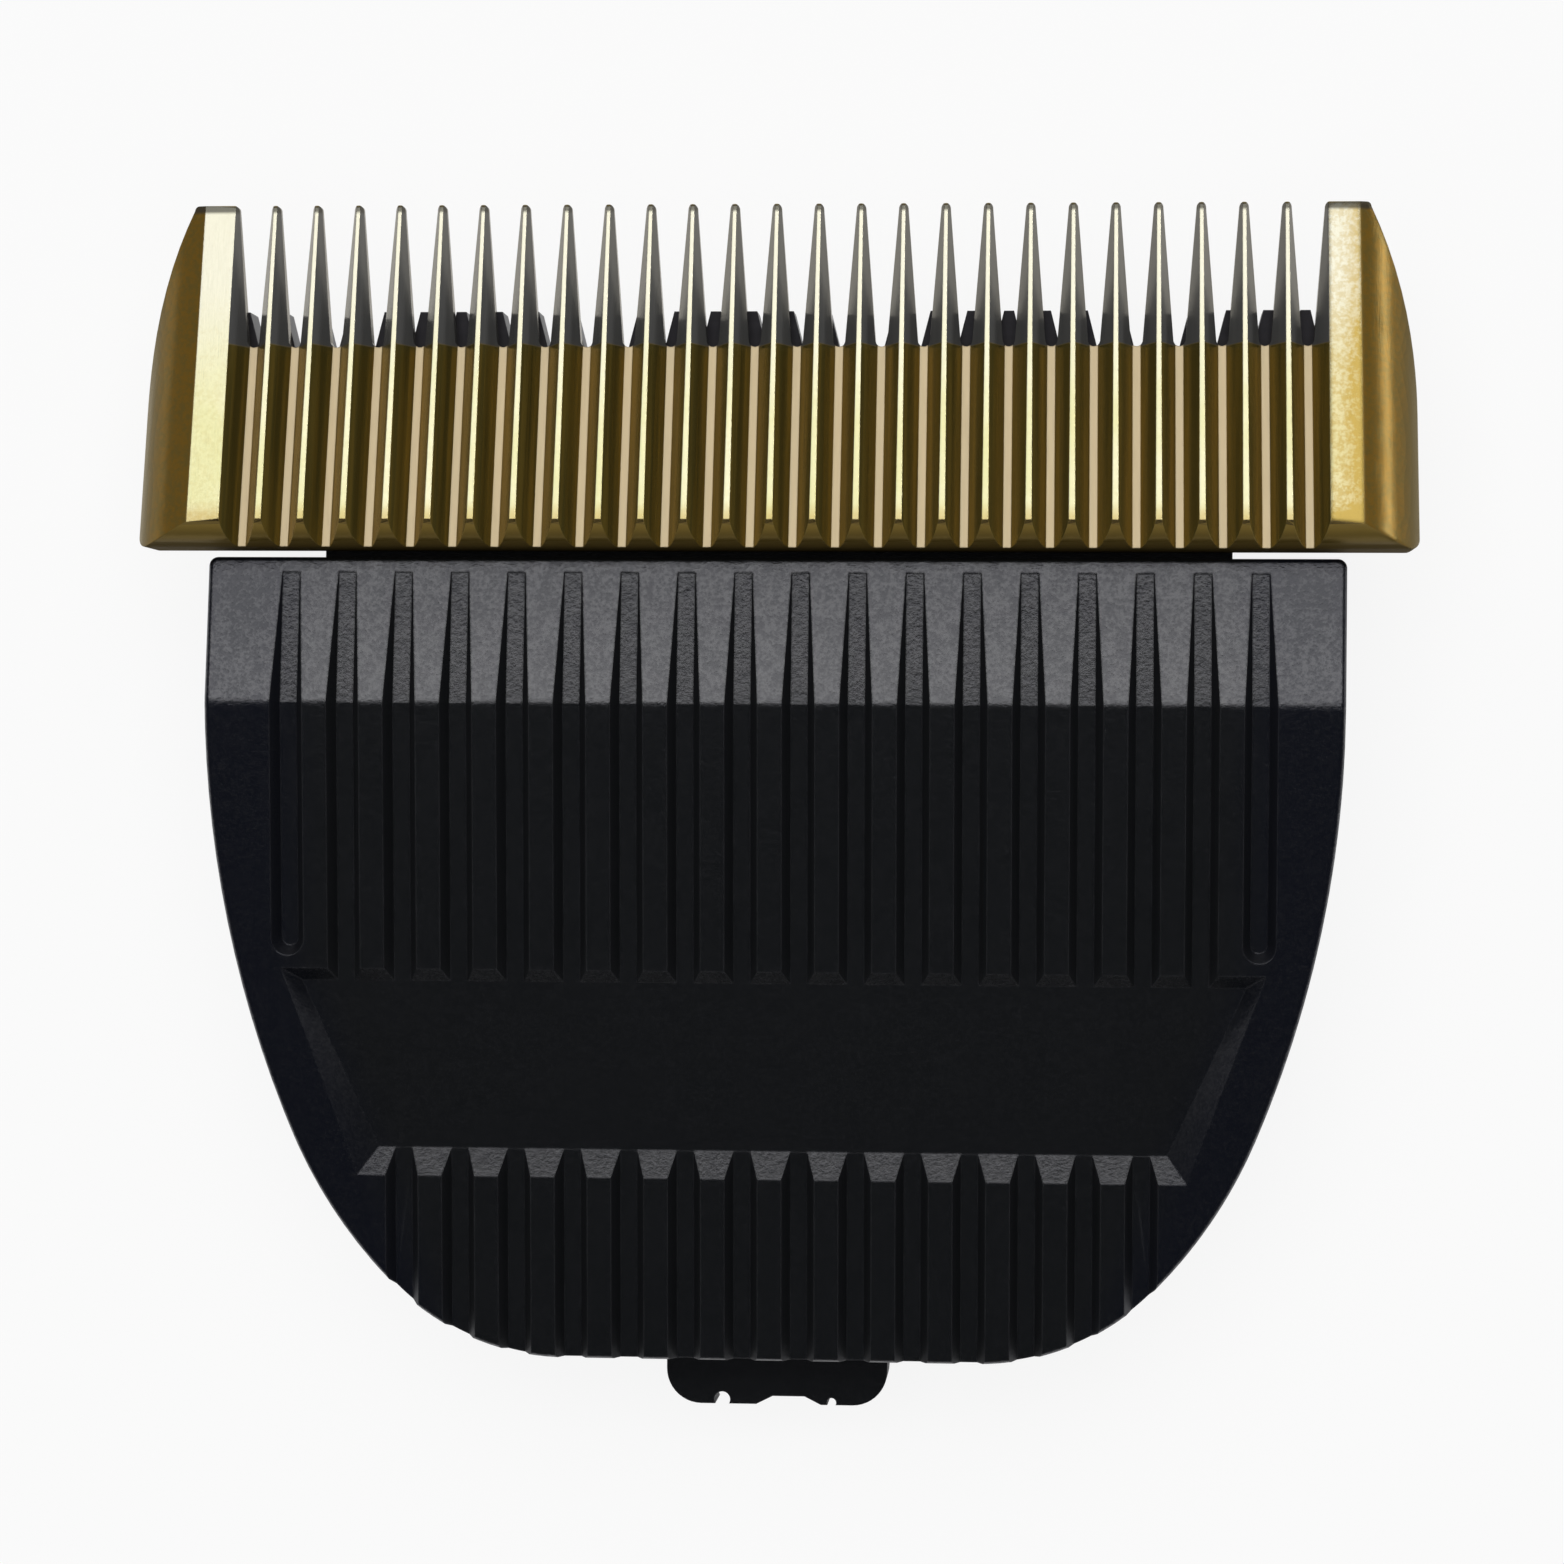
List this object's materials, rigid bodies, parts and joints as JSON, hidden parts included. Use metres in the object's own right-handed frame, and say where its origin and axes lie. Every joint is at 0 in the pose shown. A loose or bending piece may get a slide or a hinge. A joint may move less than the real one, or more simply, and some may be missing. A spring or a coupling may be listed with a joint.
{
  "type": "hair clipper blade",
  "caption": "Clip-on hair clipper cutting head: gold-coated toothed comb over a sliding dark cutter, on a ribbed black housing with a hook tongue and a rear drive slot.",
  "frame": {"origin": "centre of the bounding box in plan, on the plane of the housing's rear rim", "axes": "+X along the tooth row, +Y towards the comb's tooth tips, +Z out of the ribbed face"},
  "size_m": [0.0422, 0.0404, 0.0099],
  "materials": {
    "housing_plastic": "black moulding, fine spark-eroded grain",
    "comb_gold": "gold nitride coating over ground steel",
    "cutter_dark": "black coating over ground steel",
    "carrier_plastic": "natural acetal moulding",
    "spring_steel": "drawn spring wire",
    "retainer_steel": "stamped sheet",
    "screw_steel": "bright screw steel"
  },
  "bodies": {
    "head": {"housing": "housing_plastic", "comb_blade": "comb_gold", "tension_spring": "spring_steel", "spring_retainer": "retainer_steel", "comb_screws": "screw_steel", "retainer_screws": "screw_steel"},
    "cutter": {"cutter_blade": "cutter_dark", "cutter_carrier": "carrier_plastic"}
  },
  "joints": [
    {"name": "cutter_slide", "type": "slide", "parent": "head", "child": "cutter", "axis": [1, 0, 0], "range_m": [-0.00103, 0.00147]}
  ]
}
